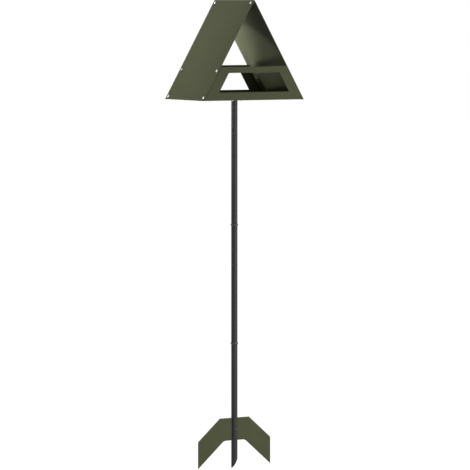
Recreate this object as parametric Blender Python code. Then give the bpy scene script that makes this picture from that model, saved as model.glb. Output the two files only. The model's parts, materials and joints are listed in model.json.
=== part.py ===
"""A bird feeder: a folded sheet-metal house on a pole in three sections with a ground anchor.

Metres, +Z up. The origin is on the pole's axis at the soil line, and -Y is the front.
The house's own pieces are drawn from the eaves upwards, on an empty at the eaves' height.
"""

from math import cos, pi, radians, sin, tan

import bmesh
import bpy
from mathutils import Matrix, Vector

# Fits
GAP = 0.0003  # between pieces that lie on, pass through or slide in one another

# House
HOUSE_WIDTH = 0.450  # over the roof's outer faces, at the eaves
HOUSE_DEPTH = 0.310  # from the front panel's face to the back panel's
ROOF_ANGLE = radians(60)
SHEET = 0.0015
BEND_RADIUS = 0.0020  # outer radius of every fold
RIDGE_FLANGE = 0.028  # how far the fold under the ridge reaches down the other roof panel

# Front and back panels
PANEL_HEIGHT = 0.130
WINDOW_BOTTOM = 0.0314
WINDOW_TOP = 0.1065
STILE_WIDTH = 0.0431  # from the roof's outer face to the window, square to the roof
PANEL_FLANGE = 0.034  # how far the side flanges reach into the house
FLANGE_CHAMFER = 0.008

# Tray
TRAY_RISE = 0.0010  # from the eaves up to the tray's underside
TRAY_LIP = 0.0150  # front and back lips, over the tray's underside
SIDE_LIP_MARGIN = 0.010  # side lips, past the centre of their screws
DRAIN_HOLE = 0.0060
DRAIN_INSET = 0.045  # from the tray's front, back and sides

# Screws and nuts
SCREW = 0.0050
SCREW_LENGTH = 0.010
SCREW_CHAMFER = 0.0005
HEAD_DIAMETER = 0.0095
HEAD_HEIGHT = 0.00275
HEAD_RIM = 0.00035  # upright edge below the dome
HEAD_LAND = 0.0003  # flat ring round the socket
SOCKET_ACROSS = 0.0030
SOCKET_DEPTH = 0.0016
NUT_ACROSS = 0.0080
NUT_HEIGHT = 0.0040
BOLT_END = 0.0015  # how far the anchor's bolt stands out of its nut
SCREW_FROM_END = 0.016  # from the roof's front and back edges
LOW_SCREW = 0.014  # up the roof from the eaves
HIGH_SCREW = 0.0171  # down the roof from the panels' top edge
RIDGE_SCREW = 0.014  # down the roof from the ridge

# Pole
TUBE = 0.0250
TUBE_WALL = 0.0015
BURIED_DEPTH = 0.200  # from the soil line to the spike's tip
SPIKE_LENGTH = 0.490
SPIKE_CUT = 0.0407  # height of the slanting cut that makes the point
MIDDLE_LENGTH = 0.461
TOP_LENGTH = 0.481
SPIGOT_LENGTH = 0.045
SPIGOT_WALL = 0.0020
SPIGOT_CHAMFER = 0.0010
COLLAR_HEIGHT = 0.0080
COLLAR_BULGE = 0.0026  # over the tube

# House mounting
STUB_LENGTH = 0.0085  # from the eaves down to the stub's shoulder
MOUNT_FLANGE = 0.076
MOUNT_PLATE = 0.0020
MOUNT_CIRCLE = 0.054  # diameter of the circle of screws
MOUNT_WELD = 0.0015

# Ground anchor
ANCHOR_SHEET = 0.0030
ANCHOR_TOP = -0.0011
ANCHOR_WIDTH = 0.329
ANCHOR_TOP_WIDTH = 0.1318
ANCHOR_SLANT = 0.0872  # drop from the top edge to the outer corners
ANCHOR_END = 0.1059  # height of the upright ends
ANCHOR_BAND = 0.0897  # height of the plate at the pole
ANCHOR_CORNER = 0.010
ANCHOR_FILLET = 0.025

# How finely round shapes are cut, and how far cutters reach
TUBE_SIDES = 48
SCREW_SIDES = 18
DOME_STEPS = 3
BEND_STEPS = 3
CORNER_STEPS = 6
COLLAR_STEPS = 6
SMOOTH_ANGLE = radians(35)
MERGE = 0.000003  # points nearer to each other than this are one
THROUGH = 4  # a cutter's length in thicknesses of what it passes through
UP = Vector((0, 0, 1))

# Heights and sizes that follow
ROOF_SLOPE = HOUSE_WIDTH / 2 / cos(ROOF_ANGLE)
RIDGE_ANGLE = pi - 2 * ROOF_ANGLE
HIGH_SLOPE = PANEL_HEIGHT / sin(ROOF_ANGLE) - HIGH_SCREW
SCREW_Y = HOUSE_DEPTH / 2 - SCREW_FROM_END
TUBE_RADIUS = TUBE / 2
SPIGOT_RADIUS = TUBE_RADIUS - TUBE_WALL - GAP
HOLE_RADIUS = SCREW / 2 + GAP
SPIKE_TIP = -BURIED_DEPTH
SPIKE_TOP = SPIKE_TIP + SPIKE_LENGTH
LOWER_COLLAR = SPIKE_TOP + GAP
MIDDLE_BOTTOM = LOWER_COLLAR + COLLAR_HEIGHT + GAP
UPPER_COLLAR = MIDDLE_BOTTOM + MIDDLE_LENGTH + GAP
TOP_BOTTOM = UPPER_COLLAR + COLLAR_HEIGHT + GAP
EAVES = TOP_BOTTOM + TOP_LENGTH + GAP + STUB_LENGTH
ANCHOR_MIDDLE = ANCHOR_TOP - ANCHOR_BAND / 2


def layer(count):
    """Depth under the roof's outer face of what lies below that many sheets."""
    return count * (SHEET + GAP)


def roof_normal(side):
    return Vector((side * sin(ROOF_ANGLE), 0, cos(ROOF_ANGLE)))


def roof_point(side, slope, depth, y):
    """A point up the roof from the eaves, and inwards from its outer face."""
    edge = Vector((side * HOUSE_WIDTH / 2, y, 0))
    up = Vector((-side * cos(ROOF_ANGLE), 0, sin(ROOF_ANGLE)))
    return edge + up * slope - roof_normal(side) * depth


def half_width(height, depth):
    """Half the house's width at a height, measured that deep under the roof's outer faces."""
    return HOUSE_WIDTH / 2 - height / tan(ROOF_ANGLE) - depth / sin(ROOF_ANGLE)


def corner_radius(across_flats):
    return across_flats / 2 / cos(pi / 6)


def clear_scene():
    for old in list(bpy.data.objects):
        bpy.data.objects.remove(old, do_unlink=True)


def finish(name, colour, roughness, metallic):
    material = bpy.data.materials.new(name)
    material.use_nodes = True
    shader = material.node_tree.nodes["Principled BSDF"]
    shader.inputs["Base Color"].default_value = (*colour, 1)
    shader.inputs["Roughness"].default_value = roughness
    shader.inputs["Metallic"].default_value = metallic
    return material


def plain_mesh(name, shape):
    mesh = bpy.data.meshes.new(name)
    shape.to_mesh(mesh)
    shape.free()
    return mesh


def finished_mesh(name, shape, material):
    mesh = plain_mesh(name, shape)
    mesh.materials.append(material)
    mesh.shade_smooth()
    mesh.set_sharp_from_angle(angle=SMOOTH_ANGLE)
    return mesh


def axis_empty(name, height):
    """An empty on the pole's axis, which carries the pieces that move together."""
    empty = bpy.data.objects.new(name, None)
    bpy.context.collection.objects.link(empty)
    empty.location = (0, 0, height)
    return empty


def put(name, mesh, parent=None, location=(0, 0, 0), up=(0, 0, 1)):
    """Place a mesh as a named piece, with its own +Z turned to point along up."""
    piece = bpy.data.objects.new(name, mesh)
    bpy.context.collection.objects.link(piece)
    piece.parent = parent
    piece.location = location
    piece.rotation_euler = UP.rotation_difference(Vector(up)).to_euler()
    return piece


def cut(piece, cutter_mesh, location=(0, 0, 0)):
    """Cut a hidden shape out of a piece."""
    cutter = put(piece.name + "_cutter", cutter_mesh, piece.parent, location)
    cutter.hide_render = True
    cutter.display_type = "WIRE"
    boolean = piece.modifiers.new("cut", "BOOLEAN")
    boolean.operation = "DIFFERENCE"
    boolean.object = cutter


def drilled(piece, wall, holes):
    """Drill round holes through a wall, each given by a centre, a direction and a radius."""
    shape = bmesh.new()
    for centre, direction, radius in holes:
        turn = UP.rotation_difference(Vector(direction)).to_matrix().to_4x4()
        bmesh.ops.create_cone(
            shape, cap_ends=True, segments=SCREW_SIDES, radius1=radius, radius2=radius,
            depth=wall * THROUGH, matrix=Matrix.Translation(centre) @ turn)
    cut(piece, plain_mesh(piece.name + "_holes", shape))


def rounded(shape, edge, radius, steps):
    """Round one edge to a radius, whatever the angle between its two faces."""
    shape.normal_update()
    reach = radius * tan(edge.calc_face_angle() / 2)
    bmesh.ops.bevel(
        shape, geom=[edge], offset=reach, offset_type="OFFSET", segments=steps,
        profile=0.5, affect="EDGES", clamp_overlap=False)


def spin_round(shape, profile, sides, closed):
    """Turn a line of (radius, height) points about Z, joined end to end if closed."""
    points = [shape.verts.new((radius, 0, height)) for radius, height in profile]
    lines = [shape.edges.new(pair) for pair in zip(points, points[1:])]
    if closed:
        lines.append(shape.edges.new((points[-1], points[0])))
    bmesh.ops.spin(
        shape, geom=points + lines, cent=(0, 0, 0), axis=(0, 0, 1), angle=2 * pi, steps=sides)
    bmesh.ops.remove_doubles(shape, verts=shape.verts, dist=MERGE)


def turned(name, profile, material):
    """A solid turned about Z, from a profile that meets itself or starts and ends on the axis."""
    shape = bmesh.new()
    spin_round(shape, profile, TUBE_SIDES, profile[0][0] > 0)
    bmesh.ops.recalc_face_normals(shape, faces=shape.faces)
    return finished_mesh(name, shape, material)


def thicken(shape, faces, way):
    """Extrude faces along a vector into a closed solid."""
    grown = bmesh.ops.extrude_face_region(shape, geom=faces)["geom"]
    far = [item for item in grown if isinstance(item, bmesh.types.BMVert)]
    bmesh.ops.translate(shape, verts=far, vec=way)
    bmesh.ops.recalc_face_normals(shape, faces=shape.faces)


def plate_shape(outline, y, thickness):
    """A flat plate from (x, z) points, centred on y."""
    shape = bmesh.new()
    face = shape.faces.new([shape.verts.new((x, y - thickness / 2, z)) for x, z in outline])
    thicken(shape, [face], (0, thickness, 0))
    return shape


def folded_sheet(name, corners, faces, folds, outward, material):
    """A sheet given by its outer surface, rounded at its folds and thickened inwards."""
    shape = bmesh.new()
    points = {key: shape.verts.new(place) for key, place in corners.items()}
    surfaces = [shape.faces.new([points[key] for key in face]) for face in faces]
    bmesh.ops.recalc_face_normals(shape, faces=surfaces)
    shape.normal_update()
    if surfaces[0].normal.dot(outward) < 0:
        bmesh.ops.reverse_faces(shape, faces=surfaces)
    for start, end in folds:
        rounded(shape, shape.edges.get((points[start], points[end])), BEND_RADIUS, BEND_STEPS)
    return finished_mesh(name, shape, material)


def put_sheet(name, mesh, parent):
    piece = put(name, mesh, parent)
    solidify = piece.modifiers.new("sheet", "SOLIDIFY")
    solidify.thickness = SHEET
    solidify.offset = -1
    solidify.use_even_offset = True
    return piece


def screw_mesh(name, length, material):
    """A button-head screw with a hexagon socket, its head's underside at zero."""
    radius = SCREW / 2
    head = HEAD_DIAMETER / 2
    socket = corner_radius(SOCKET_ACROSS)
    land = socket + HEAD_LAND
    profile = [
        (0, -length), (radius - SCREW_CHAMFER, -length), (radius, SCREW_CHAMFER - length),
        (radius, 0), (head, 0), (head, HEAD_RIM)]
    for step in range(1, DOME_STEPS + 1):
        angle = pi / 2 * step / DOME_STEPS
        profile.append((
            land + (head - land) * cos(angle),
            HEAD_RIM + (HEAD_HEIGHT - HEAD_RIM) * sin(angle)))
    shape = bmesh.new()
    spin_round(shape, profile, SCREW_SIDES, closed=False)
    around = [edge for edge in shape.edges if edge.is_boundary]
    hexagon = bmesh.ops.create_circle(
        shape, segments=6, radius=socket, matrix=Matrix.Translation((0, 0, HEAD_HEIGHT)))
    sides = list({edge for point in hexagon["verts"] for edge in point.link_edges})
    bmesh.ops.bridge_loops(shape, edges=around + sides)
    wall = bmesh.ops.extrude_edge_only(shape, edges=sides)["geom"]
    floor = [item for item in wall if isinstance(item, bmesh.types.BMVert)]
    bmesh.ops.translate(shape, verts=floor, vec=(0, 0, -SOCKET_DEPTH))
    bmesh.ops.contextual_create(shape, geom=floor)
    bmesh.ops.recalc_face_normals(shape, faces=shape.faces)
    return finished_mesh(name, shape, material)


def nut_mesh(name, material):
    """A plain hexagon nut, hanging from zero."""
    shape = bmesh.new()
    for sides, radius in ((6, corner_radius(NUT_ACROSS)), (SCREW_SIDES, HOLE_RADIUS)):
        bmesh.ops.create_circle(shape, segments=sides, radius=radius)
    bmesh.ops.bridge_loops(shape, edges=shape.edges)
    thicken(shape, shape.faces[:], (0, 0, -NUT_HEIGHT))
    return finished_mesh(name, shape, material)


def window_outline():
    """The window's corners: its sides run parallel to the roof."""
    low = half_width(WINDOW_BOTTOM, STILE_WIDTH)
    high = half_width(WINDOW_TOP, STILE_WIDTH)
    return [(-low, WINDOW_BOTTOM), (low, WINDOW_BOTTOM), (high, WINDOW_TOP), (-high, WINDOW_TOP)]


def end_panel(name, facing, house, material):
    """A trapezoid frame round a window, with a flange folded in along each side."""
    y = facing * HOUSE_DEPTH / 2
    inner_y = facing * (HOUSE_DEPTH / 2 - PANEL_FLANGE)
    chamfer_y = inner_y + facing * FLANGE_CHAMFER
    corners = {}
    faces = [[("edge", -1, 0), ("edge", 1, 0), ("edge", 1, PANEL_HEIGHT), ("edge", -1, PANEL_HEIGHT)]]
    for side in (-1, 1):
        for height, tab_height in (
                (0, FLANGE_CHAMFER), (PANEL_HEIGHT, PANEL_HEIGHT - FLANGE_CHAMFER)):
            x = side * half_width(height, layer(1))
            corners["edge", side, height] = (x, y, height)
            corners["end", side, height] = (x, chamfer_y, height)
            corners["tab", side, height] = (
                side * half_width(tab_height, layer(1)), inner_y, tab_height)
        faces.append([
            ("edge", side, 0), ("end", side, 0), ("tab", side, 0),
            ("tab", side, PANEL_HEIGHT), ("end", side, PANEL_HEIGHT), ("edge", side, PANEL_HEIGHT)])
    folds = [(("edge", side, 0), ("edge", side, PANEL_HEIGHT)) for side in (-1, 1)]
    mesh = folded_sheet(name, corners, faces, folds, Vector((0, facing, 0)), material)
    panel = put_sheet(name, mesh, house)
    window = plate_shape(window_outline(), y, SHEET * THROUGH)
    cut(panel, plain_mesh(name + "_window", window))
    drilled(panel, SHEET, [
        roof_hole(side, slope, layer(1), facing * SCREW_Y)
        for side in (-1, 1) for slope in (LOW_SCREW, HIGH_SLOPE)])


def roof_screws():
    """Name, side, distance up the roof, y and number of sheets held, for every roof screw."""
    screws = []
    for end, y in (("front", -SCREW_Y), ("back", SCREW_Y)):
        for flank, side in (("left", -1), ("right", 1)):
            screws.append((f"{flank}_{end}_low", side, LOW_SCREW, y, 3))
            screws.append((f"{flank}_{end}_high", side, HIGH_SLOPE, y, 2))
        screws.append((f"ridge_{end}", -1, ROOF_SLOPE - RIDGE_SCREW, y, 2))
    return screws


def roof_hole(side, slope, depth, y):
    return roof_point(side, slope, depth, y), roof_normal(side), HOLE_RADIUS


def roof_holes(side, depth):
    return [
        roof_hole(side, slope, depth, y)
        for name, screw_side, slope, y, sheets in roof_screws() if screw_side == side]


def left_roof(house, material):
    """A flat panel, whose top edge ends on the line of the other panel's outer face."""
    top = ROOF_SLOPE - SHEET / tan(RIDGE_ANGLE)
    corners = {
        (slope, y): roof_point(-1, slope, 0, y * HOUSE_DEPTH / 2)
        for slope in (0, top) for y in (-1, 1)}
    faces = [[(0, -1), (0, 1), (top, 1), (top, -1)]]
    mesh = folded_sheet("roof_panel_left", corners, faces, [], roof_normal(-1), material)
    drilled(put_sheet("roof_panel_left", mesh, house), SHEET, roof_holes(-1, 0))


def right_roof(house, material):
    """A panel that folds over at the ridge, with a flange under the left panel."""
    fold = ROOF_SLOPE - layer(1) / sin(RIDGE_ANGLE)
    low = ROOF_SLOPE - RIDGE_FLANGE
    corners = {}
    for y in (-1, 1):
        end = y * HOUSE_DEPTH / 2
        corners["eaves", y] = roof_point(1, 0, 0, end)
        corners["ridge", y] = roof_point(1, fold, 0, end)
        corners["flange", y] = roof_point(-1, low + FLANGE_CHAMFER, layer(1), end)
        corners["tab", y] = roof_point(-1, low, layer(1), end - y * FLANGE_CHAMFER)
    faces = [
        [("eaves", -1), ("eaves", 1), ("ridge", 1), ("ridge", -1)],
        [("ridge", -1), ("ridge", 1), ("flange", 1), ("tab", 1), ("tab", -1), ("flange", -1)]]
    folds = [(("ridge", -1), ("ridge", 1))]
    mesh = folded_sheet("roof_panel_right", corners, faces, folds, roof_normal(1), material)
    panel = put_sheet("roof_panel_right", mesh, house)
    flange_holes = [
        roof_hole(-1, ROOF_SLOPE - RIDGE_SCREW, layer(1), y) for y in (-SCREW_Y, SCREW_Y)]
    drilled(panel, SHEET, roof_holes(1, 0) + flange_holes)


def mount_screws():
    """Where the four screws of the pole mounting stand on the tray."""
    reach = MOUNT_CIRCLE / 2 * cos(pi / 4)
    return [(x * reach, y * reach) for x in (-1, 1) for y in (-1, 1)]


def tray(house, material):
    """A pan with upright lips at the front and back, and side lips that follow the roof."""
    relief = BEND_RADIUS * (tan(ROOF_ANGLE) + 1) + SHEET
    fold_x = half_width(TRAY_RISE, layer(2))
    fold_y = HOUSE_DEPTH / 2 - layer(1)
    side_slope = LOW_SCREW + SIDE_LIP_MARGIN
    lip_top = TRAY_RISE + TRAY_LIP
    corners = {}
    for side in (-1, 1):
        for end in (-1, 1):
            corners["side", side, end] = (side * fold_x, end * (fold_y - relief), TRAY_RISE)
            corners["end", side, end] = (side * (fold_x - relief), end * fold_y, TRAY_RISE)
            corners["side_lip", side, end] = roof_point(
                side, side_slope, layer(2), end * (fold_y - relief))
            corners["end_lip", side, end] = (
                side * (half_width(lip_top, layer(2)) - relief), end * fold_y, lip_top)
    faces = [[
        ("side", -1, -1), ("side", -1, 1), ("end", -1, 1), ("end", 1, 1),
        ("side", 1, 1), ("side", 1, -1), ("end", 1, -1), ("end", -1, -1)]]
    folds = []
    for way in (-1, 1):
        faces.append([
            ("side", way, -1), ("side", way, 1), ("side_lip", way, 1), ("side_lip", way, -1)])
        faces.append([
            ("end", -1, way), ("end", 1, way), ("end_lip", 1, way), ("end_lip", -1, way)])
        folds.append((("side", way, -1), ("side", way, 1)))
        folds.append((("end", -1, way), ("end", 1, way)))
    mesh = folded_sheet("feed_tray", corners, faces, folds, Vector((0, 0, -1)), material)
    pan = put_sheet("feed_tray", mesh, house)
    drain_x = fold_x - DRAIN_INSET
    drain_y = fold_y - DRAIN_INSET
    holes = [
        roof_hole(side, LOW_SCREW, layer(2), y) for side in (-1, 1) for y in (-SCREW_Y, SCREW_Y)]
    holes += [((x, y, TRAY_RISE), UP, HOLE_RADIUS) for x, y in mount_screws()]
    holes += [
        ((x, y, TRAY_RISE), UP, DRAIN_HOLE / 2)
        for x in (-drain_x, drain_x) for y in (-drain_y, drain_y)]
    drilled(pan, SHEET, holes)


def pole_mounting(house, material):
    """A round flange under the tray, with a stub that sits on the pole and a spigot inside it."""
    top = TRAY_RISE - GAP
    under = top - MOUNT_PLATE
    shoulder = -STUB_LENGTH
    end = shoulder - SPIGOT_LENGTH
    bore = SPIGOT_RADIUS - SPIGOT_WALL
    profile = [
        (0, top), (MOUNT_FLANGE / 2, top), (MOUNT_FLANGE / 2, under),
        (TUBE_RADIUS + MOUNT_WELD, under), (TUBE_RADIUS, under - MOUNT_WELD),
        (TUBE_RADIUS, shoulder), (SPIGOT_RADIUS, shoulder),
        (SPIGOT_RADIUS, end + SPIGOT_CHAMFER), (SPIGOT_RADIUS - SPIGOT_CHAMFER, end),
        (bore, end), (bore, under), (0, under)]
    mount = put("pole_mount", turned("pole_mount", profile, material), house)
    drilled(mount, MOUNT_PLATE, [((x, y, under), UP, HOLE_RADIUS) for x, y in mount_screws()])


def house_fasteners(house, material):
    screw = screw_mesh("house_screw", SCREW_LENGTH, material)
    nut = nut_mesh("house_nut", material)
    for name, side, slope, y, sheets in roof_screws():
        out = roof_normal(side)
        put(f"screw_{name}", screw, house, roof_point(side, slope, -GAP, y), out)
        put(f"nut_{name}", nut, house, roof_point(side, slope, layer(sheets), y), out)
    for number, (x, y) in enumerate(mount_screws(), start=1):
        nut_top = TRAY_RISE - GAP - MOUNT_PLATE - GAP
        put(f"mount_screw_{number}", screw, house, (x, y, TRAY_RISE + SHEET + GAP))
        put(f"mount_nut_{number}", nut, house, (x, y, nut_top))


def tube_mesh(name, length, material):
    inner = TUBE_RADIUS - TUBE_WALL
    profile = [(TUBE_RADIUS, 0), (TUBE_RADIUS, length), (inner, length), (inner, 0)]
    return turned(name, profile, material)


def connector_mesh(name, material):
    """A plug with a raised collar between two hollow spigots, its collar's underside at zero."""
    low = -SPIGOT_LENGTH
    high = COLLAR_HEIGHT + SPIGOT_LENGTH
    bore = SPIGOT_RADIUS - SPIGOT_WALL
    tip = SPIGOT_RADIUS - SPIGOT_CHAMFER
    profile = [(bore, low), (tip, low), (SPIGOT_RADIUS, low + SPIGOT_CHAMFER), (SPIGOT_RADIUS, 0)]
    for step in range(COLLAR_STEPS + 1):
        angle = pi * step / COLLAR_STEPS
        height = COLLAR_HEIGHT / 2 * (1 - cos(angle))
        profile.append((TUBE_RADIUS + COLLAR_BULGE * sin(angle), height))
    profile += [
        (SPIGOT_RADIUS, COLLAR_HEIGHT), (SPIGOT_RADIUS, high - SPIGOT_CHAMFER),
        (tip, high), (bore, high)]
    return turned(name, profile, material)


def spike(material):
    """The lowest tube: cut to a slanting point, and slotted through for the anchor plate."""
    mesh = tube_mesh("spike_tube", SPIKE_LENGTH, material)
    for point in mesh.vertices:
        if point.co.z < SPIKE_LENGTH / 2:
            point.co.z = SPIKE_CUT * (point.co.x + TUBE_RADIUS) / TUBE
    tube = put("spike_tube", mesh, location=(0, 0, SPIKE_TIP))
    slot = bmesh.new()
    bmesh.ops.create_cube(slot, size=1, matrix=Matrix.Diagonal(
        (TUBE * THROUGH, ANCHOR_SHEET + 2 * GAP, ANCHOR_BAND + 2 * GAP, 1)))
    cut(tube, plain_mesh("spike_slot", slot), (0, 0, ANCHOR_MIDDLE))
    drilled(tube, TUBE, [((0, 0, ANCHOR_MIDDLE), (0, 1, 0), HOLE_RADIUS)])


def anchor_plate(material):
    """A plate with two slanting wings, which passes through the spike's slots."""
    low = ANCHOR_TOP - ANCHOR_SLANT
    fall = ANCHOR_SLANT / ((ANCHOR_WIDTH - ANCHOR_TOP_WIDTH) / 2)
    tip = low - ANCHOR_END
    inner_z = ANCHOR_TOP - ANCHOR_BAND
    inner_x = ANCHOR_WIDTH / 2 - (inner_z - tip) / fall
    half = [
        (ANCHOR_TOP_WIDTH / 2, ANCHOR_TOP, 0), (ANCHOR_WIDTH / 2, low, ANCHOR_CORNER),
        (ANCHOR_WIDTH / 2, tip, 0), (inner_x, inner_z, ANCHOR_FILLET)]
    outline = half + [(-x, z, radius) for x, z, radius in reversed(half)]
    shape = plate_shape([(x, z) for x, z, radius in outline], 0, ANCHOR_SHEET)
    for x, z, radius in outline:
        if radius:
            corner = Vector((x, 0, z))
            across = [
                edge for edge in shape.edges
                if ((edge.verts[0].co + edge.verts[1].co) / 2 - corner).length < GAP]
            rounded(shape, across[0], radius, CORNER_STEPS)
    plate = put("anchor_plate", finished_mesh("anchor_plate", shape, material))
    drilled(plate, ANCHOR_SHEET, [((0, 0, ANCHOR_MIDDLE), (0, 1, 0), HOLE_RADIUS)])


def anchor_fasteners(material):
    seat = TUBE_RADIUS + GAP
    length = 2 * seat + NUT_HEIGHT + BOLT_END
    bolt = screw_mesh("anchor_bolt", length, material)
    put("anchor_bolt", bolt, location=(0, -seat, ANCHOR_MIDDLE), up=(0, -1, 0))
    put("anchor_nut", nut_mesh("anchor_nut", material), location=(0, seat, ANCHOR_MIDDLE),
        up=(0, -1, 0))


def main():
    clear_scene()
    olive = finish("olive_powder_coat", (0.075, 0.080, 0.046), 0.42, 0.0)
    black = finish("black_powder_coat", (0.036, 0.036, 0.036), 0.45, 0.0)
    plastic = finish("black_plastic", (0.028, 0.028, 0.029), 0.38, 0.0)
    bright = finish("zinc_plated_steel", (0.62, 0.62, 0.58), 0.32, 1.0)
    dark = finish("blackened_steel", (0.030, 0.030, 0.034), 0.35, 1.0)

    spike(black)
    anchor_plate(olive)
    anchor_fasteners(dark)
    connector = connector_mesh("pole_connector", plastic)
    put("pole_connector_lower", connector, location=(0, 0, LOWER_COLLAR))

    middle = axis_empty("middle_section_axis", MIDDLE_BOTTOM)
    put("pole_middle", tube_mesh("pole_middle", MIDDLE_LENGTH, black), middle)
    put("pole_connector_upper", connector, middle, (0, 0, UPPER_COLLAR - MIDDLE_BOTTOM))

    top = axis_empty("top_section_axis", TOP_BOTTOM)
    put("pole_top", tube_mesh("pole_top", TOP_LENGTH, black), top)

    house = axis_empty("house_axis", EAVES)
    pole_mounting(house, olive)
    tray(house, olive)
    end_panel("front_panel", -1, house, olive)
    end_panel("back_panel", 1, house, olive)
    left_roof(house, olive)
    right_roof(house, olive)
    house_fasteners(house, bright)


main()
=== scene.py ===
"""A bird feeder of powder-coated sheet steel on a sectional pole, finished for its picture."""

import json
from math import atan2, ceil, cos, pi, radians, sin, sqrt

import bmesh
import bpy
from mathutils import Matrix, Vector

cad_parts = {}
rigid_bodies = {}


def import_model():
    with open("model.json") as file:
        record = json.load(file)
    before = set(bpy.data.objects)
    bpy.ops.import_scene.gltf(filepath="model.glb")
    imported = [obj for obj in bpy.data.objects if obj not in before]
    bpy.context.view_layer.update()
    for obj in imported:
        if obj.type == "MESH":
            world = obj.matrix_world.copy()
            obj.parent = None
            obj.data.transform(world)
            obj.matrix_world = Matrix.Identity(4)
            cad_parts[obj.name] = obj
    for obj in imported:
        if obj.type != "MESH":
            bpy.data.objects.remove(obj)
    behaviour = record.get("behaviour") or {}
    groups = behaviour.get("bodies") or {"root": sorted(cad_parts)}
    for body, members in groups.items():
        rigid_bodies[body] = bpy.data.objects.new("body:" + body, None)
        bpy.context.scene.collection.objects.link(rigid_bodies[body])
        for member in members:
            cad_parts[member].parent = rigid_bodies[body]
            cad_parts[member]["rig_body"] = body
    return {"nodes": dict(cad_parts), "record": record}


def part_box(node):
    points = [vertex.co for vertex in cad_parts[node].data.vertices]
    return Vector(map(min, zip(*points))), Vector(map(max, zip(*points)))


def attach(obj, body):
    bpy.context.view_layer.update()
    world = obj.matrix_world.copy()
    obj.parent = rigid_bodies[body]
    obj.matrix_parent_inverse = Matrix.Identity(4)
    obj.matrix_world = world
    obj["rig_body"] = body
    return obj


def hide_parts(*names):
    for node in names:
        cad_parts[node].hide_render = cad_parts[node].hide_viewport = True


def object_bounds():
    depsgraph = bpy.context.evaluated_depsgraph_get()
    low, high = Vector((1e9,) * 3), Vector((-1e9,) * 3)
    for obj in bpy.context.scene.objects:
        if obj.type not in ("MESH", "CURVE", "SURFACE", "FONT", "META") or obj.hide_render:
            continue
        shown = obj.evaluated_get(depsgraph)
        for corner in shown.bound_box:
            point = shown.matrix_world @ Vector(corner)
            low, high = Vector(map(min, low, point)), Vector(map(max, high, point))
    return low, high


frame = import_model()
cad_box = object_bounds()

NODES = frame["nodes"]
SLOTS = {part["node"]: part["material_slot"] for part in frame["record"]["subparts"]}
UP = Vector((0, 0, 1))

# Camera, set to the photograph's straight edges
IMAGE_SIDE = 470
FOCAL_PIXELS = 3159.8
SENSOR = 36
CAMERA_DISTANCE = 12.4114
CAMERA_SIDE = radians(30.136)  # round from the front, to the left
CAMERA_HEIGHT = 1.6401
CAMERA_TURN = radians(30.148)
CAMERA_TILT = radians(4.226)

# Merging, flattening and smoothing
MERGE = 0.000005
FLAT = radians(0.5)  # faces that turn less than this are one face
CUT_EDGE = radians(50)  # edges that turn more than this are cut, and not folded
SMOOTH = radians(46)

# Edges of sheet and tube
SHEET_ROUND = 0.00035
TUBE_ROUND = 0.0003
EDGE_STEPS = 2

# M5 button-head screws and their nuts
SCREW_RADIUS = 0.0025
PITCH = 0.0008
THREAD_DEPTH = 0.00043
THREAD_STEPS = 24
HEAD_RADIUS = 0.00475
HEAD_HEIGHT = 0.00275
HEAD_RIM = 0.00035
SOCKET_ACROSS = 0.0030
SOCKET_DEPTH = 0.0016
SOCKET_POINT = 0.0004  # depth of the drill's cone under the socket
SOCKET_ROUND = 0.00012
DOME_STEPS = 9
TURNED_STEPS = 48
NUT_ACROSS = 0.0080
NUT_HEIGHT = 0.0040
NUT_BORE = 0.0026
NUT_CHAMFER = radians(30)

# Collars and spigots of the pole's connectors
TUBE_RADIUS = 0.0125
SPIGOT_RADIUS = 0.0107
SPIGOT_WALL = 0.0020
SPIGOT_LEAD = 0.0010
COLLAR_HEIGHT = 0.0080
COLLAR_BULGE = 0.0026
COLLAR_STEPS = 16
RIB_COUNT = 6
RIB_HEIGHT = 0.0002
RIB_MARGIN = 0.0020  # from the ribs' ends to the collar and to the lead
POLE_STEPS = 96

# Lamps: place, target, size, power, width of beam in degrees, and whether reflections show it
LAMPS = (
    ("front", (0.2, -4.5, 0.8), (0, 0, 0.7), 1.8, 28, 180, True),
    ("front_right", (2.2, -3.2, 0.9), (0, 0, 0.7), 1.8, 80, 180, True),
    ("front_low", (-0.4, -2.4, 0.6), (0, 0, -0.05), 0.8, 0.7, 40, False),
    ("left", (-1.8, 0, 0.95), (-0.22, 0, 1.25), 0.3, 0.34, 26, False),
    ("back_left", (-2.0, 2.6, 1.2), (0.12, 0.05, 1.56), 0.5, 0.8, 12, True),
    ("back_low", (-1.6, 1.3, -0.12), (0, 0.15, 1.68), 1.4, 4, 36, True),
    ("back_near", (-0.9, 0.9, -0.12), (0, 0.15, 1.58), 0.9, 12, 50, True),
)

# Weld under the mounting flange
WELD_RADIUS = 0.0014
WELD_RIPPLES = 44
WELD_RIPPLE_DEPTH = 0.00022


def alone(piece):
    """Select one piece and nothing else."""
    bpy.ops.object.select_all(action="DESELECT")
    piece.select_set(True)
    bpy.context.view_layer.objects.active = piece


def start_edit(piece):
    """Go into edit mode on one piece with nothing selected."""
    alone(piece)
    bpy.ops.object.mode_set(mode="EDIT")
    bpy.ops.mesh.select_mode(type="VERT")
    bpy.ops.mesh.select_all(action="DESELECT")


def end_edit():
    bpy.ops.object.mode_set(mode="OBJECT")


def choose(piece, kind, test):
    """Select the verts, edges or faces of the piece in edit mode that pass a test."""
    bpy.ops.mesh.select_mode(type={"verts": "VERT", "edges": "EDGE", "faces": "FACE"}[kind])
    bpy.ops.mesh.select_all(action="DESELECT")
    shape = bmesh.from_edit_mesh(piece.data)
    for item in getattr(shape, kind):
        item.select_set(test(item))
    bmesh.update_edit_mesh(piece.data)


def apply_place(piece):
    alone(piece)
    bpy.ops.object.transform_apply(location=True, rotation=True, scale=True)


def apply_modifiers(piece):
    alone(piece)
    for modifier in list(piece.modifiers):
        bpy.ops.object.modifier_apply(modifier=modifier.name)


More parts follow.
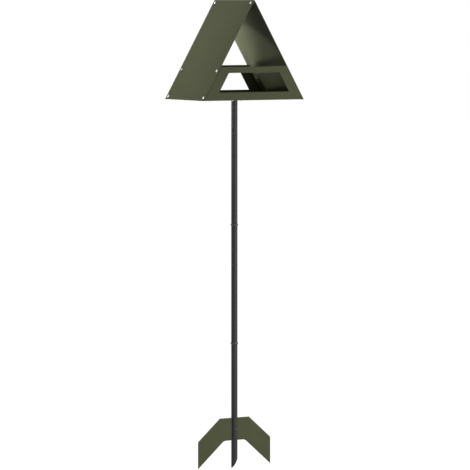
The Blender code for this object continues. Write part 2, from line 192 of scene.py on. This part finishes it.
def combine(piece, other, how):
    """Cut, join or intersect a piece with another, which is used up."""
    boolean = piece.modifiers.new("combine", "BOOLEAN")
    boolean.operation = how
    boolean.object = other
    apply_modifiers(piece)
    bpy.data.objects.remove(other, do_unlink=True)


def smooth(piece):
    """Shade round where faces turn gently, with large flat faces kept flat."""
    alone(piece)
    bpy.ops.object.shade_smooth_by_angle(angle=SMOOTH)
    weighted = piece.modifiers.new("weighted", "WEIGHTED_NORMAL")
    weighted.keep_sharp = True
    apply_modifiers(piece)


def traced(node):
    """A copy of a CAD node's mesh, merged, with its triangles joined into whole faces."""
    piece = bpy.data.objects.new(node + "_finished", NODES[node].data.copy())
    bpy.context.collection.objects.link(piece)
    piece.data.materials.clear()
    start_edit(piece)
    bpy.ops.mesh.select_all(action="SELECT")
    bpy.ops.mesh.remove_doubles(threshold=MERGE)
    bpy.ops.mesh.dissolve_limited(angle_limit=FLAT)
    end_edit()
    return piece


def round_edges(piece, width, turn):
    """Round the edges that turn more than an angle, and mark the new faces as rim."""
    for slot in range(2):
        piece.data.materials.append(None)
    start_edit(piece)
    choose(piece, "edges", lambda edge: edge.is_manifold and edge.calc_face_angle() > turn)
    bpy.ops.mesh.bevel(offset=width, segments=EDGE_STEPS, material=1, clamp_overlap=False)
    end_edit()
    rim = piece.data.attributes.new("rim", "FLOAT", "CORNER")
    for face in piece.data.polygons:
        for corner in face.loop_indices:
            rim.data[corner].value = face.material_index
        face.material_index = 0


def dress(piece, node, *others):
    """Give a finished piece its material, and let it stand for a CAD node on that node's body."""
    slot = SLOTS[node]
    piece.data.materials.clear()
    piece.data.materials.append(MATERIALS[slot])
    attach(piece, NODES[node]["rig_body"])
    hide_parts(node, *others)


def lathe(name, profile, steps, closed=False):
    """Draw a line of (radius, height) points out from one vertex, and spin it round Z."""
    bpy.ops.object.select_all(action="DESELECT")
    bpy.ops.mesh.primitive_plane_add(size=MERGE, location=(profile[0][0], 0, profile[0][1]))
    piece = bpy.context.active_object
    piece.name = name
    apply_place(piece)
    start_edit(piece)
    bpy.ops.mesh.select_all(action="SELECT")
    bpy.ops.mesh.merge(type="CENTER")
    for (radius, height), (next_radius, next_height) in zip(profile, profile[1:]):
        step = (next_radius - radius, 0, next_height - height)
        bpy.ops.mesh.extrude_region_move(TRANSFORM_OT_translate={"value": step})
    if closed:
        ends = (profile[0], profile[-1])
        choose(piece, "verts", lambda point: any(
            (Vector((radius, 0, height)) - point.co).length < MERGE for radius, height in ends))
        bpy.ops.mesh.edge_face_add()
    bpy.ops.mesh.select_mode(type="VERT")
    bpy.ops.mesh.select_all(action="SELECT")
    bpy.ops.mesh.spin(steps=steps, angle=2 * pi, center=(0, 0, 0), axis=(0, 0, 1))
    bpy.ops.mesh.select_all(action="SELECT")
    bpy.ops.mesh.remove_doubles(threshold=MERGE)
    bpy.ops.mesh.normals_make_consistent(inside=False)
    end_edit()
    return piece


def prism(name, sides, radius, low, high, turn=0):
    """A prism round Z, to be cut into or to cut with."""
    bpy.ops.object.select_all(action="DESELECT")
    bpy.ops.mesh.primitive_cylinder_add(
        vertices=sides, radius=radius, depth=high - low, location=(0, 0, (low + high) / 2),
        rotation=(0, 0, turn))
    piece = bpy.context.active_object
    piece.name = name
    apply_place(piece)
    return piece


def largest_normal(node, towards):
    """The direction of a CAD node's largest face, on the side that a vector points to."""
    largest = max(NODES[node].data.polygons, key=lambda face: face.area)
    return largest.normal if largest.normal.dot(towards) > 0 else -largest.normal


def span(node, direction):
    """A point on a turned CAD node's axis, and its lowest and highest reach along it."""
    places = {tuple(round(value, 6) for value in point.co) for point in NODES[node].data.vertices}
    centre = sum((Vector(place) for place in places), Vector()) / len(places)
    reach = [(Vector(place) - centre).dot(direction) for place in places]
    return centre, min(reach), max(reach)


def new_group(name, inputs, outputs):
    """An empty shader group with named number, colour and vector sockets."""
    group = bpy.data.node_groups.new(name, "ShaderNodeTree")
    for label, kind, value in inputs:
        socket = group.interface.new_socket(label, in_out="INPUT", socket_type="NodeSocket" + kind)
        socket.default_value = value
    for label, kind in outputs:
        group.interface.new_socket(label, in_out="OUTPUT", socket_type="NodeSocket" + kind)
    ends = group.nodes.new("NodeGroupInput"), group.nodes.new("NodeGroupOutput")
    return group, *ends


def math(tree, how, first, second, clamp=False):
    """A Math node on two numbers or sockets."""
    node = tree.nodes.new("ShaderNodeMath")
    node.operation = how
    node.use_clamp = clamp
    for socket, value in zip(node.inputs, (first, second)):
        if isinstance(value, bpy.types.NodeSocket):
            tree.links.new(value, socket)
        else:
            socket.default_value = value
    return node.outputs[0]


def noise(tree, place, scale, detail, rough=0.5):
    """The value of a noise texture at a place, with its scale in waves a metre."""
    node = tree.nodes.new("ShaderNodeTexNoise")
    node.inputs["Scale"].default_value = scale
    node.inputs["Detail"].default_value = detail
    node.inputs["Roughness"].default_value = rough
    tree.links.new(place, node.inputs["Vector"])
    return node.outputs["Fac"]


def mix_colour(tree, share, first, second):
    """A colour part of the way from one to another."""
    node = tree.nodes.new("ShaderNodeMix")
    node.data_type = "RGBA"
    for socket, value in ((node.inputs[0], share), (node.inputs[6], first), (node.inputs[7], second)):
        if isinstance(value, bpy.types.NodeSocket):
            tree.links.new(value, socket)
        else:
            socket.default_value = value
    return node.outputs[2]


def powder_group():
    """Powder coat: its orange peel and grain, and its drift in tone over a hand's width."""
    group, given, made = new_group("powder_surface", [
        ("Peel Waves", "Float", 600.0), ("Grain Waves", "Float", 2600.0),
        ("Cloud Waves", "Float", 9.0), ("Peel Share", "Float", 0.6)],
        [("Height", "Float"), ("Cloud", "Float"), ("Fleck", "Float")])
    place = group.nodes.new("ShaderNodeTexCoord").outputs["Object"]
    peel = noise(group, place, 600.0, 2.0)
    group.links.new(given.outputs["Peel Waves"], peel.node.inputs["Scale"])
    grain = noise(group, place, 2600.0, 2.0, 0.7)
    group.links.new(given.outputs["Grain Waves"], grain.node.inputs["Scale"])
    cloud = noise(group, place, 9.0, 4.0, 0.55)
    group.links.new(given.outputs["Cloud Waves"], cloud.node.inputs["Scale"])
    coarse = math(group, "MULTIPLY", peel, given.outputs["Peel Share"])
    fine_share = math(group, "SUBTRACT", 1.0, given.outputs["Peel Share"])
    fine = math(group, "MULTIPLY", grain, fine_share)
    group.links.new(math(group, "ADD", coarse, fine), made.inputs["Height"])
    group.links.new(cloud, made.inputs["Cloud"])
    group.links.new(grain, made.inputs["Fleck"])
    return group


def rim_group():
    """Mask of the cut edges, broken up along their length, where a painted highlight makes the coat
    paler.
    """
    group, given, made = new_group("painted_edge_highlight", [
        ("Amount", "Float", 0.5), ("Patch Waves", "Float", 120.0)], [("Mask", "Float")])
    place = group.nodes.new("ShaderNodeTexCoord").outputs["Object"]
    rim = group.nodes.new("ShaderNodeAttribute")
    rim.attribute_name = "rim"
    patches = noise(group, place, 120.0, 3.0)
    group.links.new(given.outputs["Patch Waves"], patches.node.inputs["Scale"])
    broken = math(group, "MULTIPLY", rim.outputs["Fac"], patches)
    mask = math(group, "MULTIPLY", broken, given.outputs["Amount"], clamp=True)
    group.links.new(mask, made.inputs["Mask"])
    return group


def turning_group():
    """Fine rings left by turning and forming, round each fastener's own axis."""
    group, given, made = new_group("turned_surface", [
        ("Ring Waves", "Float", 9000.0), ("Cloud Waves", "Float", 350.0)],
        [("Height", "Float"), ("Cloud", "Float")])
    own = group.nodes.new("ShaderNodeAttribute")
    own.attribute_name = "own_place"
    split = group.nodes.new("ShaderNodeSeparateXYZ")
    group.links.new(own.outputs["Vector"], split.inputs[0])
    across = math(group, "MULTIPLY", split.outputs["X"], split.outputs["X"])
    along = math(group, "MULTIPLY", split.outputs["Y"], split.outputs["Y"])
    radius = math(group, "SQRT", math(group, "ADD", across, along), 0.0)
    joined = group.nodes.new("ShaderNodeCombineXYZ")
    group.links.new(radius, joined.inputs["X"])
    group.links.new(split.outputs["Z"], joined.inputs["Z"])
    rings = noise(group, joined.outputs[0], 9000.0, 1.0)
    group.links.new(given.outputs["Ring Waves"], rings.node.inputs["Scale"])
    cloud = noise(group, own.outputs["Vector"], 350.0, 3.0)
    group.links.new(given.outputs["Cloud Waves"], cloud.node.inputs["Scale"])
    group.links.new(rings, made.inputs["Height"])
    group.links.new(cloud, made.inputs["Cloud"])
    return group


def placed_group(tree, group, **values):
    """A shader group set into a material, with its own values."""
    node = tree.nodes.new("ShaderNodeGroup")
    node.node_tree = group
    for label, value in values.items():
        node.inputs[label.replace("_", " ")].default_value = value
    return node.outputs


def bump(tree, shader, height, strength, depth):
    node = tree.nodes.new("ShaderNodeBump")
    node.inputs["Strength"].default_value = strength
    node.inputs["Distance"].default_value = depth
    tree.links.new(height, node.inputs["Height"])
    tree.links.new(node.outputs["Normal"], shader.inputs["Normal"])


def new_material(name, metallic, specular):
    material = bpy.data.materials.new(name)
    material.use_nodes = True
    shader = material.node_tree.nodes["Principled BSDF"]
    shader.inputs["Metallic"].default_value = metallic
    shader.inputs["Specular IOR Level"].default_value = specular
    return material, material.node_tree, shader


def coated(name, colour, drift, edge_highlight_colour, roughness, specular, peel, groups):
    """Powder-coated steel: a colour that drifts to another, smoother on cut edges, with a painted
    highlight that makes those edges paler.
    """
    material, tree, shader = new_material(name, 0.0, specular)
    surface = placed_group(tree, groups["powder"], Peel_Waves=peel)
    # mask of the cut edges, where the colour gets a painted highlight
    edges = placed_group(tree, groups["rim"], Amount=1.3)
    fleck = math(tree, "SUBTRACT", surface["Fleck"], 0.5)
    share = math(tree, "ADD", surface["Cloud"], math(tree, "MULTIPLY", fleck, 1.6), clamp=True)
    tone = mix_colour(tree, share, (*colour, 1), (*drift, 1))
    # painted highlight: the cut edges' colour is mixed toward a paler one
    tree.links.new(
        mix_colour(tree, edges["Mask"], tone, (*edge_highlight_colour, 1)), shader.inputs["Base Color"])
    shift = math(tree, "MULTIPLY", math(tree, "SUBTRACT", surface["Cloud"], 0.5), 0.14)
    speckle = math(tree, "MULTIPLY", fleck, 0.20)
    rough = math(tree, "ADD", math(tree, "ADD", shift, speckle), roughness)
    smoother = math(tree, "MULTIPLY", edges["Mask"], 0.12)
    tree.links.new(math(tree, "SUBTRACT", rough, smoother, clamp=True), shader.inputs["Roughness"])
    bump(tree, shader, surface["Height"], 0.6, 0.00035)
    return material


def moulded(name, colour, drift, roughness, groups):
    """Moulded plastic with a fine spark-eroded grain."""
    material, tree, shader = new_material(name, 0.0, 0.45)
    surface = placed_group(tree, groups["powder"], Peel_Waves=1500.0, Cloud_Waves=40.0, Peel_Share=0.4)
    tree.links.new(
        mix_colour(tree, surface["Cloud"], (*colour, 1), (*drift, 1)), shader.inputs["Base Color"])
    shift = math(tree, "MULTIPLY", math(tree, "SUBTRACT", surface["Cloud"], 0.5), 0.18)
    tree.links.new(math(tree, "ADD", shift, roughness), shader.inputs["Roughness"])
    bump(tree, shader, surface["Height"], 0.3, 0.00008)
    return material


def bare_metal(name, colour, drift, metallic, roughness, groups):
    """A plated or blackened fastener: turning rings, and a finish that drifts in tone."""
    material, tree, shader = new_material(name, metallic, 0.5)
    surface = placed_group(tree, groups["turning"])
    tree.links.new(
        mix_colour(tree, surface["Cloud"], (*colour, 1), (*drift, 1)), shader.inputs["Base Color"])
    shift = math(tree, "MULTIPLY", math(tree, "SUBTRACT", surface["Cloud"], 0.5), 0.25)
    rings = math(tree, "MULTIPLY", math(tree, "SUBTRACT", surface["Height"], 0.5), 0.10)
    rough = math(tree, "ADD", math(tree, "ADD", shift, rings), roughness)
    tree.links.new(rough, shader.inputs["Roughness"])
    bump(tree, shader, surface["Height"], 0.25, 0.00003)
    return material


def make_materials():
    groups = {"powder": powder_group(), "rim": rim_group(), "turning": turning_group()}
    return {
        # the third colour of each coat is a painted highlight on its cut edges
        "olive_powder_coat": coated(
            "olive_powder_coat", (0.062, 0.067, 0.034), (0.082, 0.088, 0.048),
            (0.118, 0.125, 0.083), 0.58, 0.05, 700.0, groups),
        "black_powder_coat": coated(
            "black_powder_coat", (0.026, 0.026, 0.026), (0.038, 0.038, 0.038),
            (0.055, 0.055, 0.054), 0.40, 0.15, 800.0, groups),
        "black_plastic": moulded(
            "black_plastic", (0.028, 0.028, 0.029), (0.036, 0.036, 0.037), 0.34, groups),
        "zinc_plated_steel": bare_metal(
            "zinc_plated_steel", (0.80, 0.81, 0.72), (0.92, 0.93, 0.84), 0.45, 0.36, groups),
        "blackened_steel": bare_metal(
            "blackened_steel", (0.050, 0.052, 0.058), (0.068, 0.070, 0.078), 0.4, 0.42, groups),
    }


def helix(name, length):
    """A screw thread round Z from a little above zero down to -length, closed at both ends."""
    root = SCREW_RADIUS - THREAD_DEPTH
    outline = [
        (root, 0.0), (root, 0.10), (SCREW_RADIUS, 0.45), (SCREW_RADIUS, 0.60), (root, 0.95),
        (root, 1.0)]
    turns = ceil(length / PITCH) + 3
    bpy.ops.object.select_all(action="DESELECT")
    bpy.ops.mesh.primitive_plane_add(size=MERGE, location=(root, 0, -turns * PITCH + 2 * PITCH))
    piece = bpy.context.active_object
    piece.name = name
    apply_place(piece)
    start_edit(piece)
    bpy.ops.mesh.select_all(action="SELECT")
    bpy.ops.mesh.merge(type="CENTER")
    for (radius, share), (next_radius, next_share) in zip(outline, outline[1:]):
        step = (next_radius - radius, 0, (next_share - share) * PITCH)
        bpy.ops.mesh.extrude_region_move(TRANSFORM_OT_translate={"value": step})
    end_edit()
    screw = piece.modifiers.new("thread", "SCREW")
    screw.angle = 2 * pi
    screw.screw_offset = PITCH
    screw.iterations = turns
    screw.steps = THREAD_STEPS
    screw.render_steps = THREAD_STEPS
    screw.use_merge_vertices = True
    screw.merge_threshold = MERGE
    apply_modifiers(piece)
    start_edit(piece)
    bpy.ops.mesh.select_all(action="SELECT")
    bpy.ops.mesh.bisect(
        plane_co=(0, 0, PITCH / 2), plane_no=(0, 0, 1), use_fill=True, clear_outer=True)
    bpy.ops.mesh.select_all(action="SELECT")
    bpy.ops.mesh.bisect(
        plane_co=(0, 0, -length), plane_no=(0, 0, 1), use_fill=True, clear_inner=True)
    bpy.ops.mesh.select_all(action="SELECT")
    bpy.ops.mesh.normals_make_consistent(inside=False)
    end_edit()
    return piece


def screw_master(name, length):
    """A button-head screw with a rolled thread, a domed head and a drilled hexagon socket."""
    socket = SOCKET_ACROSS / 2 / cos(pi / 6)
    land = socket * 1.12
    tip = SCREW_RADIUS - THREAD_DEPTH
    head = [(0, PITCH / 4), (SCREW_RADIUS * 0.9, PITCH / 4), (SCREW_RADIUS * 0.9, 0)]
    head += [(HEAD_RADIUS - HEAD_RIM / 3, 0), (HEAD_RADIUS, HEAD_RIM / 3), (HEAD_RADIUS, HEAD_RIM)]
    for step in range(1, DOME_STEPS + 1):
        angle = pi / 2 * step / DOME_STEPS
        head.append((
            land + (HEAD_RADIUS - land) * cos(angle),
            HEAD_RIM + (HEAD_HEIGHT - HEAD_RIM) * sin(angle)))
    head.append((0, HEAD_HEIGHT))
    piece = lathe(name, head, TURNED_STEPS)
    hollow = prism(name + "_socket", 6, socket, HEAD_HEIGHT - SOCKET_DEPTH, HEAD_HEIGHT * 2)
    start_edit(hollow)
    choose(hollow, "faces", lambda face: face.normal.z < -0.9)
    bpy.ops.mesh.extrude_region_move(TRANSFORM_OT_translate={"value": (0, 0, -SOCKET_POINT)})
    bpy.ops.transform.resize(value=(0.1, 0.1, 1))
    end_edit()
    combine(piece, hollow, "DIFFERENCE")
    start_edit(piece)
    mouth = HEAD_HEIGHT - MERGE
    choose(piece, "edges", lambda edge: all(
        point.co.z > mouth and point.co.xy.length < socket * 1.02 for point in edge.verts))
    bpy.ops.mesh.bevel(offset=SOCKET_ROUND, segments=EDGE_STEPS, clamp_overlap=False)
    end_edit()
    thread = helix(name + "_thread", length)
    blank = lathe(name + "_blank", [
        (0, PITCH), (SCREW_RADIUS * 1.1, PITCH), (SCREW_RADIUS * 1.1, THREAD_DEPTH * 2 - length),
        (tip * 0.95, -length), (0, -length)], TURNED_STEPS)
    combine(thread, blank, "INTERSECT")
    combine(piece, thread, "UNION")
    return piece


def nut_master(name):
    """A hexagon nut with chamfered corners and a countersunk bore, hanging from zero."""
    corner = NUT_ACROSS / 2 / cos(pi / 6)
    flat = NUT_ACROSS / 2
    fall = (corner - flat) * sin(NUT_CHAMFER) / cos(NUT_CHAMFER)
    sink = SCREW_RADIUS - THREAD_DEPTH
    piece = prism(name, 6, corner, -NUT_HEIGHT, 0)
    barrel = lathe(name + "_barrel", [
        (0, 0), (flat * 0.97, 0), (corner * 1.01, -fall * 1.3),
        (corner * 1.01, fall * 1.3 - NUT_HEIGHT), (flat * 0.97, -NUT_HEIGHT), (0, -NUT_HEIGHT)],
        TURNED_STEPS)
    combine(piece, barrel, "INTERSECT")
    deep = NUT_BORE - sink
    bore = lathe(name + "_bore", [
        (0, PITCH), (NUT_BORE + PITCH + deep, PITCH), (NUT_BORE, -deep),
        (NUT_BORE, deep - NUT_HEIGHT), (NUT_BORE + PITCH + deep, -NUT_HEIGHT - PITCH),
        (0, -NUT_HEIGHT - PITCH)], TURNED_STEPS)
    combine(piece, bore, "DIFFERENCE")
    return piece


def keep_own_place(piece):
    """Store where each point lies from the fastener's own middle, for its turning rings."""
    own = piece.data.attributes.new("own_place", "FLOAT_VECTOR", "POINT")
    for point in piece.data.vertices:
        own.data[point.index].vector = point.co


def place_copy(master, node, direction, height, turn):
    """Set a copy of a fastener where its CAD node is, with its top at that node's top."""
    centre, low, high = span(node, direction)
    piece = bpy.data.objects.new(node + "_finished", master.data.copy())
    bpy.context.collection.objects.link(piece)
    lean = UP.rotation_difference(direction).to_matrix().to_4x4()
    seat = centre + direction * (high - height)
    piece.data.transform(Matrix.Translation(seat) @ lean @ Matrix.Rotation(turn, 4, "Z"))
    dress(piece, node)
    return piece


def fasteners():
    """Every screw and nut of the house, each turned its own way round."""
    outward = {
        "left": largest_normal("roof_panel_left", Vector((-1, 0, 0))),
        "right": largest_normal("roof_panel_right", Vector((1, 0, 0))),
        "ridge": largest_normal("roof_panel_left", Vector((-1, 0, 0))),
        "mount": UP}
    bolt_way = Vector((0, -1, 0))
    centre, low, high = span("screw_left_front_low", outward["left"])
    screw = screw_master("house_screw", high - low - HEAD_HEIGHT)
    centre, low, high = span("anchor_bolt", bolt_way)
    bolt = screw_master("anchor_screw", high - low - HEAD_HEIGHT)
    nut = nut_master("house_nut")
    for master in (screw, bolt, nut):
        smooth(master)
        keep_own_place(master)
    turn = 0
    for node in sorted(NODES):
        if "screw" not in node and "nut" not in node or node == "anchor_nut":
            continue
        turn += pi * (3 - sqrt(5))
        side = next(key for key in outward if key in node)
        if "screw" in node:
            place_copy(screw, node, outward[side], HEAD_HEIGHT, turn)
        else:
            place_copy(nut, node, outward[side], 0, turn)
    place_copy(bolt, "anchor_bolt", bolt_way, HEAD_HEIGHT, turn)
    place_copy(nut, "anchor_nut", bolt_way, 0, 0)
    for master in (screw, bolt, nut):
        bpy.data.objects.remove(master, do_unlink=True)


def sheet_pieces():
    """The folded panels, the tray and the anchor plate, with their cut edges rounded."""
    for node in (
            "roof_panel_left", "roof_panel_right", "front_panel", "back_panel", "feed_tray",
            "anchor_plate"):
        piece = traced(node)
        round_edges(piece, SHEET_ROUND, CUT_EDGE)
        smooth(piece)
        dress(piece, node)


def tubes():
    """The pole's three tubes, with their sawn ends and the spike's slots eased."""
    for node in ("spike_tube", "pole_middle", "pole_top"):
        piece = traced(node)
        round_edges(piece, TUBE_ROUND, CUT_EDGE)
        smooth(piece)
        dress(piece, node)


def raise_ribs(piece, ribs):
    """Raise narrow ribs, evenly round the spigots, between the heights given."""
    facet = 2 * pi / POLE_STEPS
    start_edit(piece)

    def on_rib(face):
        centre = face.calc_center_median()
        outward = face.normal.dot(Vector((centre.x, centre.y, 0)).normalized()) > 0.9
        turn = atan2(centre.y, centre.x) % (2 * pi / RIB_COUNT)
        tall = any(low < centre.z < high for low, high in ribs)
        return outward and tall and turn < facet

    choose(piece, "faces", on_rib)
    bpy.ops.mesh.extrude_region_shrink_fatten(TRANSFORM_OT_shrink_fatten={"value": RIB_HEIGHT})
    bpy.ops.mesh.select_all(action="SELECT")
    bpy.ops.mesh.normals_make_consistent(inside=False)
    end_edit()


def connectors():
    """The plugs between the tubes: a round collar, and spigots with crush ribs."""
    for node in ("pole_connector_lower", "pole_connector_upper"):
        low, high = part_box(node)
        base = (low.z + high.z - COLLAR_HEIGHT) / 2
        top = high.z - base
        bottom = low.z - base
        lead = SPIGOT_RADIUS - SPIGOT_LEAD
        bore = SPIGOT_RADIUS - SPIGOT_WALL
        ribs = (
            (bottom + SPIGOT_LEAD + RIB_MARGIN, -RIB_MARGIN),
            (COLLAR_HEIGHT + RIB_MARGIN, top - SPIGOT_LEAD - RIB_MARGIN))
        profile = [
            (bore, bottom), (lead, bottom), (SPIGOT_RADIUS, bottom + SPIGOT_LEAD),
            (SPIGOT_RADIUS, ribs[0][0]), (SPIGOT_RADIUS, ribs[0][1]), (SPIGOT_RADIUS, 0),
            (TUBE_RADIUS - SHEET_ROUND, 0)]
        for step in range(COLLAR_STEPS + 1):
            angle = pi * step / COLLAR_STEPS
            profile.append((
                TUBE_RADIUS + COLLAR_BULGE * sin(angle),
                COLLAR_HEIGHT / 2 * (1 - cos(angle))))
        profile += [
            (TUBE_RADIUS - SHEET_ROUND, COLLAR_HEIGHT), (SPIGOT_RADIUS, COLLAR_HEIGHT),
            (SPIGOT_RADIUS, ribs[1][0]), (SPIGOT_RADIUS, ribs[1][1]),
            (SPIGOT_RADIUS, top - SPIGOT_LEAD), (lead, top), (bore, top)]
        piece = lathe(node + "_finished", profile, POLE_STEPS, closed=True)
        raise_ribs(piece, ribs)
        smooth(piece)
        piece.data.transform(Matrix.Translation((0, 0, base)))
        dress(piece, node)


def weld_bead(centre_z):
    """A ring of weld with the ripples that the puddle leaves."""
    bpy.ops.object.select_all(action="DESELECT")
    bpy.ops.mesh.primitive_torus_add(
        location=(0, 0, centre_z), major_radius=TUBE_RADIUS + WELD_RADIUS / 2,
        minor_radius=WELD_RADIUS, major_segments=WELD_RIPPLES * 4, minor_segments=12)
    bead = bpy.context.active_object
    apply_place(bead)
    middle = TUBE_RADIUS + WELD_RADIUS / 2
    for point in bead.data.vertices:
        around = Vector((point.co.x, point.co.y, 0))
        core = around.normalized() * middle + Vector((0, 0, centre_z))
        ripple = abs(sin(WELD_RIPPLES / 2 * around.to_2d().angle_signed(Vector((1, 0)))))
        point.co = core + (point.co - core) * (1 - WELD_RIPPLE_DEPTH / WELD_RADIUS * ripple)
    return bead


def mounting():
    """The flange, stub and spigot under the tray, with a weld in the corner."""
    low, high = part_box("pole_mount")
    piece = traced("pole_mount")
    plate = min(
        (point.co.z for point in piece.data.vertices if point.co.xy.length > TUBE_RADIUS * 2))
    round_edges(piece, TUBE_ROUND, CUT_EDGE)
    combine(piece, weld_bead(plate - WELD_RADIUS / 2), "UNION")
    smooth(piece)
    dress(piece, "pole_mount")


def add_camera():
    data = bpy.data.cameras.new("camera")
    data.sensor_width = SENSOR
    data.lens = SENSOR * FOCAL_PIXELS / IMAGE_SIDE
    data.clip_end = CAMERA_DISTANCE * 10
    camera = bpy.data.objects.new("camera", data)
    bpy.context.collection.objects.link(camera)
    camera.location = (
        -CAMERA_DISTANCE * sin(CAMERA_SIDE), -CAMERA_DISTANCE * cos(CAMERA_SIDE), CAMERA_HEIGHT)
    camera.rotation_euler = (pi / 2 - CAMERA_TILT, 0, -CAMERA_TURN)
    bpy.context.scene.camera = camera


def seen_by_rays(tree):
    """One where a camera, glossy or transmitted ray looks, and zero for soft light."""
    path = tree.nodes.new("ShaderNodeLightPath")
    either = math(tree, "ADD", path.outputs["Is Camera Ray"], path.outputs["Is Glossy Ray"])
    return math(tree, "ADD", either, path.outputs["Is Transmission Ray"], clamp=True)


SKY = 0.50  # soft light from all round
FLOOR_SHADE = 0.30  # how much of the floor's white comes from light, so that shadows show
FLOOR_GLOW = 0.87
FLOOR_SIZE = 60


def set_world():
    """White to the eye and in reflections, and soft light from all round."""
    world = bpy.data.worlds.new("studio")
    world.use_nodes = True
    tree = world.node_tree
    background = tree.nodes["Background"]
    background.inputs["Color"].default_value = (1, 1, 1, 1)
    looked_at = math(tree, "MULTIPLY", seen_by_rays(tree), 1 - SKY)
    tree.links.new(math(tree, "ADD", looked_at, SKY), background.inputs["Strength"])
    bpy.context.scene.world = world


def add_floor():
    """A white floor under the spike's tip, bright enough to meet the background."""
    bpy.ops.object.select_all(action="DESELECT")
    bpy.ops.mesh.primitive_plane_add(size=FLOOR_SIZE, location=(0, 0, cad_box[0].z))
    floor = bpy.context.active_object
    floor.name = "floor"
    material = bpy.data.materials.new("floor_white")
    material.use_nodes = True
    tree = material.node_tree
    tree.nodes.remove(tree.nodes["Principled BSDF"])
    soft = tree.nodes.new("ShaderNodeBsdfDiffuse")
    soft.inputs["Color"].default_value = (FLOOR_SHADE, FLOOR_SHADE, FLOOR_SHADE, 1)
    glow = tree.nodes.new("ShaderNodeEmission")
    tree.links.new(
        math(tree, "MULTIPLY", seen_by_rays(tree), FLOOR_GLOW), glow.inputs["Strength"])
    both = tree.nodes.new("ShaderNodeAddShader")
    tree.links.new(soft.outputs[0], both.inputs[0])
    tree.links.new(glow.outputs[0], both.inputs[1])
    tree.links.new(both.outputs[0], tree.nodes["Material Output"].inputs["Surface"])
    floor.data.materials.append(material)


def add_lamp(name, place, target, size, power, beam, seen):
    """A soft square lamp at a place, turned to a target, its beam narrowed by a grid."""
    data = bpy.data.lights.new(name, "AREA")
    data.spread = radians(beam)
    data.shape = "SQUARE"
    data.size = size
    data.energy = power
    lamp = bpy.data.objects.new(name, data)
    bpy.context.collection.objects.link(lamp)
    lamp.location = place
    lamp.rotation_euler = (Vector(target) - Vector(place)).to_track_quat("-Z", "Y").to_euler()
    lamp.visible_camera = False
    lamp.visible_glossy = seen


def light_it():
    set_world()
    add_floor()
    for lamp in LAMPS:
        add_lamp(*lamp)
    bpy.context.scene.view_settings.view_transform = "Standard"


MATERIALS = make_materials()
add_camera()
sheet_pieces()
tubes()
connectors()
mounting()
fasteners()
light_it()
